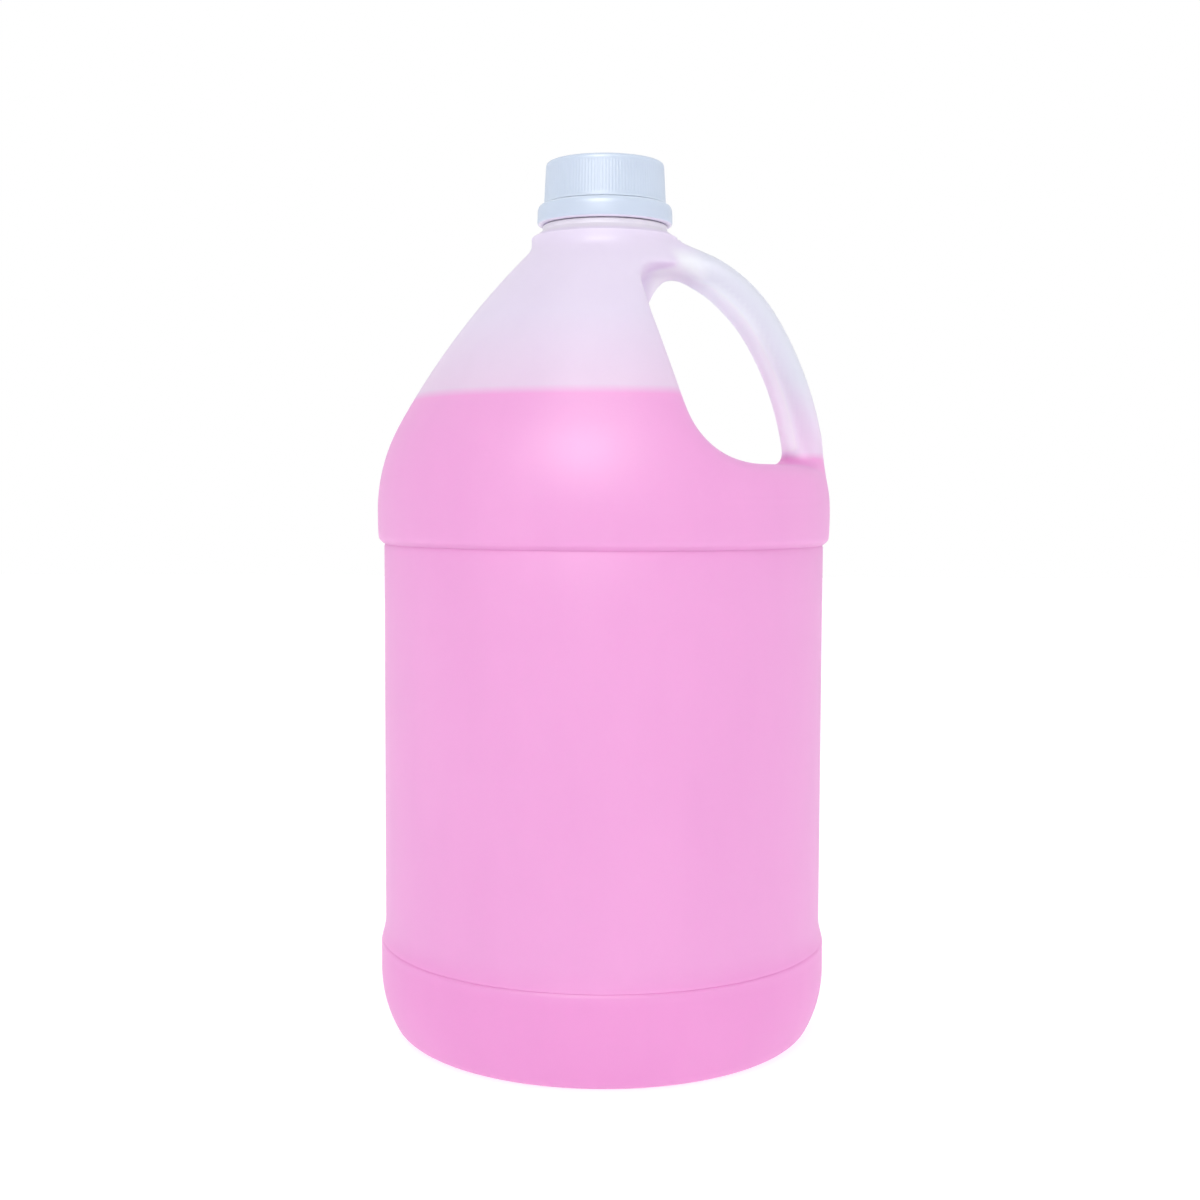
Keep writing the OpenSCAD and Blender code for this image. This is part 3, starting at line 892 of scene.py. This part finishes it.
def paintWall(piece):
    # for each point: its share of the handle's colour, of the paler paint put where shade falls (painted fill
    # light), and of the painted glow that stands in for light from behind
    for name in ("onHandle", "paintedFillLight", "paintedBackGlow"):
        piece.data.attributes.new(name, "FLOAT", "POINT")
    onHandle, paintedFillLight, paintedBackGlow = (piece.data.attributes[name] for name in ("onHandle", "paintedFillLight", "paintedBackGlow"))
    bowX, bowZ, bowRadius = handle["bow"]
    topX, topZ, topRadius = handle["topBow"]
    for v in piece.data.vertices:
        x, y, z = v.co.x / mm, v.co.y / mm, v.co.z / mm
        if z < jug["rootHeight"] + 1:
            continue
        if math.atan2(z - bowZ, x - bowX) < math.radians(handle["turn"]):
            depth = bowRadius - math.hypot(x - bowX, z - bowZ)
        else:
            depth = topRadius - math.hypot(x - topX, z - topZ)
        on = 1 - smoothStep(handle["thick"] + 1, handle["thick"] + 5, depth)
        on *= smoothStep(*plastic["handleAcross"], x) * (1 - smoothStep(*plastic["handleSide"], abs(y)))
        inner = on * smoothStep(*plastic["innerDepth"], depth) * smoothStep(*plastic["innerFoot"], z)
        away = math.hypot(x - plastic["corner"][0], z - plastic["corner"][1])
        corner = 1 - smoothStep(*plastic["cornerReach"], away)
        corner *= 1 - smoothStep(*plastic["cornerSide"], abs(y))
        onNeck = within(z, *plastic["neckFrom"])
        onHandle.data[v.index].value = on
        # paler paint where shade falls on the handle's inner side, the gap's corner and the neck: painted fill
        # light
        paintedFillLight.data[v.index].value = max(inner, plastic["cornerFillLight"] * corner, plastic["neckFillLight"] * onNeck)
        # a painted glow on the handle's inner side and the gap's corner, for light through the wall from behind
        paintedBackGlow.data[v.index].value = max(inner, plastic["cornerBackGlow"] * corner)


def levelRamp(tree, height, level, glowColour, empty):
    # colour against height: the fill, a painted glow over the level, and the empty wall
    under, over = plastic["levelEdge"]
    span = addNode(tree, "ShaderNodeMapRange")
    setInputs(span, {"From Min": (level - under) * mm, "From Max": (level + plastic["glow"]) * mm})
    tree.links.new(height, span.inputs["Value"])
    ramp = addRamp(tree, span.outputs["Result"], plastic["filled"], empty)
    ramp.color_ramp.elements.new((under + over) / (under + plastic["glow"])).color = glowColour
    return ramp.outputs["Color"]


def naturalPlastic():
    material, tree, shader = newMaterial("natural polyethylene")
    place, split = objectPlace(tree)
    height = split.outputs["Z"]
    # the fill, a painted glow just over each level, and then the empty wall or the handle
    trunk = levelRamp(tree, height, liquid["level"], plastic["levelGlowColour"], plastic["empty"])
    grip = levelRamp(tree, height, liquid["handleLevel"], plastic["handleFoot"], plastic["handle"])
    trunk = mixColours(tree, addFade(tree, height, *plastic["baseFade"], 0, 1), plastic["base"], trunk)
    painted = {}
    for name in ("onHandle", "paintedFillLight", "paintedBackGlow"):
        painted[name] = addNode(tree, "ShaderNodeAttribute", attribute_name=name).outputs["Fac"]
    colour = mixColours(tree, painted["onHandle"], trunk, grip)
    # paler paint where shade falls: painted fill light
    colour = mixColours(tree, painted["paintedFillLight"], colour, plastic["paintedFillLight"])
    stretch = addNode(tree, "ShaderNodeMapping")
    stretch.inputs["Scale"].default_value = plastic["cloudStretch"]
    tree.links.new(place, stretch.inputs["Vector"])
    mottle = addNoise(tree, stretch.outputs["Vector"], plastic["cloudScale"], 3)
    cloud = addRamp(tree, mottle, plastic["cloud"], (1, 1, 1, 1), 0.3, 0.7)
    colour = mixColours(tree, 1.0, colour, cloud.outputs["Color"], "MULTIPLY")
    tree.links.new(colour, shader.inputs["Base Color"])
    # a painted glow, as if daylight came through the hollow handle
    through = addMath(tree, "MULTIPLY", painted["paintedBackGlow"], plastic["through"])
    tree.links.new(through, shader.inputs["Emission Strength"])
    shader.inputs["Emission Color"].default_value = plastic["backGlowColour"]
    setInputs(shader, plastic["surface"])
    # the mould's parting line, and a fine grain
    line = addFade(tree, addMath(tree, "ABSOLUTE", split.outputs["Y"]), *plastic["partingLine"], 1, 0)
    ridge = addBump(tree, line, 0.5, 0.2)
    grain = addBump(tree, addNoise(tree, place, plastic["grainScale"]), 0.08, 0.4, ridge)
    tree.links.new(grain, shader.inputs["Normal"])
    return material


remover = {
    "deep": (0.96, 0.30, 0.72, 1),
    "bright": (0.98, 0.36, 0.77, 1),
    "driftScale": 9,
    "surface": {"Roughness": 0.06, "IOR": 1.36, "Transmission Weight": 0.35},
}


def pinkFill():
    material, tree, shader = newMaterial("pink remover")
    place = objectPlace(tree)[0]
    ramp = addRamp(tree, addNoise(tree, place, remover["driftScale"]), remover["deep"], remover["bright"])
    tree.links.new(ramp.outputs["Color"], shader.inputs["Base Color"])
    setInputs(shader, remover["surface"])
    return material


capPlastic = {
    "deep": (0.48, 0.545, 0.65, 1),
    "bright": (0.505, 0.575, 0.685, 1),
    "cloudScale": 60,
    "seam": (0.58, 0.65, 0.76, 1),      # the thin edges where cap and band meet are painted paler: painted light that lifts the shade of the crease between them
    "seamHeight": 286.35,
    "seamFade": (0.3, 1.1),
    "foot": (0.70, 0.65, 0.76, 1),      # the band's rounded foot over the neck's ledge is painted paler too: painted light in the shade under it
    "footFade": (279.35, 280.0),
    "surface": {
        "Roughness": 0.38,
        "IOR": 1.49,
        "Specular IOR Level": 0.4,
        "Subsurface Weight": 0.4,
        "Subsurface Scale": 1.0,
        "Subsurface Radius": (0.002, 0.002, 0.0022),
    },
}


def whitePlastic():
    material, tree, shader = newMaterial("white polypropylene")
    place, split = objectPlace(tree)
    height = split.outputs["Z"]
    cloud = addNoise(tree, place, capPlastic["cloudScale"])
    colour = addRamp(tree, cloud, capPlastic["deep"], capPlastic["bright"]).outputs["Color"]
    away = addMath(tree, "ABSOLUTE", addMath(tree, "SUBTRACT", height, capPlastic["seamHeight"] * mm))
    # paler paint at the seam and at the band's foot: painted light where shade falls
    for value, part in ((away, "seam"), (height, "foot")):
        share = addFade(tree, value, *capPlastic[part + "Fade"], 1, 0)
        colour = mixColours(tree, share, colour, capPlastic[part])
    tree.links.new(colour, shader.inputs["Base Color"])
    setInputs(shader, capPlastic["surface"])
    return material


foamCells = {
    "deep": (0.86, 0.86, 0.82, 1),
    "bright": (0.93, 0.93, 0.90, 1),
    "scale": 1800,
    "bump": (0.3, 0.2),     # strength and depth
    "roughness": 0.8,
}


def linerFoam():
    material, tree, shader = newMaterial("liner foam")
    cells = addNode(tree, "ShaderNodeTexVoronoi")
    cells.inputs["Scale"].default_value = foamCells["scale"]
    tree.links.new(objectPlace(tree)[0], cells.inputs["Vector"])
    ramp = addRamp(tree, cells.outputs["Distance"], foamCells["deep"], foamCells["bright"])
    tree.links.new(ramp.outputs["Color"], shader.inputs["Base Color"])
    tree.links.new(addBump(tree, cells.outputs["Distance"], *foamCells["bump"]), shader.inputs["Normal"])
    shader.inputs["Roughness"].default_value = foamCells["roughness"]
    return material


def finishPiece(piece, material, sharpAngle, node, body):
    makeActive(piece)
    piece.data.materials.clear()
    piece.data.materials.append(material)
    bpy.ops.object.shade_smooth_by_angle(angle=math.radians(sharpAngle))
    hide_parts(node)
    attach(piece, body)


white = whitePlastic()
paintWall(skin)
finishPiece(skin, naturalPlastic(), 50, "bottle", "jug")
finishPiece(pink, pinkFill(), 50, "liquid", "jug")
finishPiece(lid, white, 35, "cap", "cap")
finishPiece(ring, white, 35, "tamper_band", "jug")
finishPiece(disc, linerFoam(), 35, "liner", "liner")
print("materials set")


studio = {
    "floorSize": 6,
    "floor": {
        "Base Color": (0.4, 0.4, 0.4, 1),
        "Roughness": 0.9,
        "Emission Color": (1, 1, 1, 1),
        "Emission Strength": 0.72,
    },
    "white": (1, 1, 1, 1),
    "roomSeen": 1.0,        # the camera sees a pure white room
    "roomLight": 0.85,      # and the jug is lit by a softer one
    "aim": (0, 0, 0.15),
    "lights": {     # turn from the front, height angle, distance, size, power, what doesn't see it
        "keyLight": (-12, 40, 1.4, 0.5, 4.0, None),
        "sheenLight": (-12, 40, 1.4, 0.7, 28, "visible_diffuse"),
        "leftFill": (-55, 5, 2.2, 1.0, 8.5, "visible_glossy"),
        "rightFill": (55, 5, 2.2, 1.0, 11.5, "visible_glossy"),
        "backFill": (180, 12, 2.2, 1.2, 9, "visible_glossy"),
    },
    "camera": (0, -0.5783, 0.1885),
    "cameraTurn": (86.196, -0.2247, 0.133),
    "lens": 49.62,
    "sensor": 36,
}

bpy.ops.mesh.primitive_plane_add(size=studio["floorSize"])
floor = bpy.context.object
floor.name = "studioFloor"
floorPaint, _, floorShader = newMaterial("studio floor")
setInputs(floorShader, studio["floor"])
floor.data.materials.append(floorPaint)

world = bpy.data.worlds.new("studio")
scene.world = world
world.use_nodes = True
room = world.node_tree
seen = room.nodes["Background"]
setInputs(seen, {"Color": studio["white"], "Strength": studio["roomSeen"]})
soft = addNode(room, "ShaderNodeBackground")
setInputs(soft, {"Color": studio["white"], "Strength": studio["roomLight"]})
path = addNode(room, "ShaderNodeLightPath")
choose = addNode(room, "ShaderNodeMixShader")
room.links.new(path.outputs["Is Camera Ray"], choose.inputs[0])
room.links.new(soft.outputs[0], choose.inputs[1])
room.links.new(seen.outputs[0], choose.inputs[2])
room.links.new(choose.outputs[0], room.nodes["World Output"].inputs[0])


def softbox(name, azimuth, elevation, distance, size, power, unseen):
    a, e = math.radians(azimuth), math.radians(elevation)
    aim = Vector(studio["aim"])
    spot = Vector((math.sin(a) * math.cos(e), -math.cos(a) * math.cos(e), math.sin(e))) * distance + aim
    bpy.ops.object.light_add(type="AREA", location=spot)
    lamp = bpy.context.object
    lamp.name = name
    lamp.data.shape = "SQUARE"
    lamp.data.size = size
    lamp.data.energy = power
    lamp.rotation_euler = (aim - spot).to_track_quat("-Z", "Y").to_euler()
    if unseen:
        setattr(lamp, unseen, False)


for name, settings in studio["lights"].items():
    softbox(name, *settings)

turn = [math.radians(angle) for angle in studio["cameraTurn"]]
bpy.ops.object.camera_add(location=studio["camera"], rotation=turn)
camera = bpy.context.object
camera.name = "shopCamera"
camera.data.lens = studio["lens"]
camera.data.sensor_width = studio["sensor"]
camera.data.dof.use_dof = False
scene.camera = camera
scene.view_settings.view_transform = "Standard"
print("studio set")
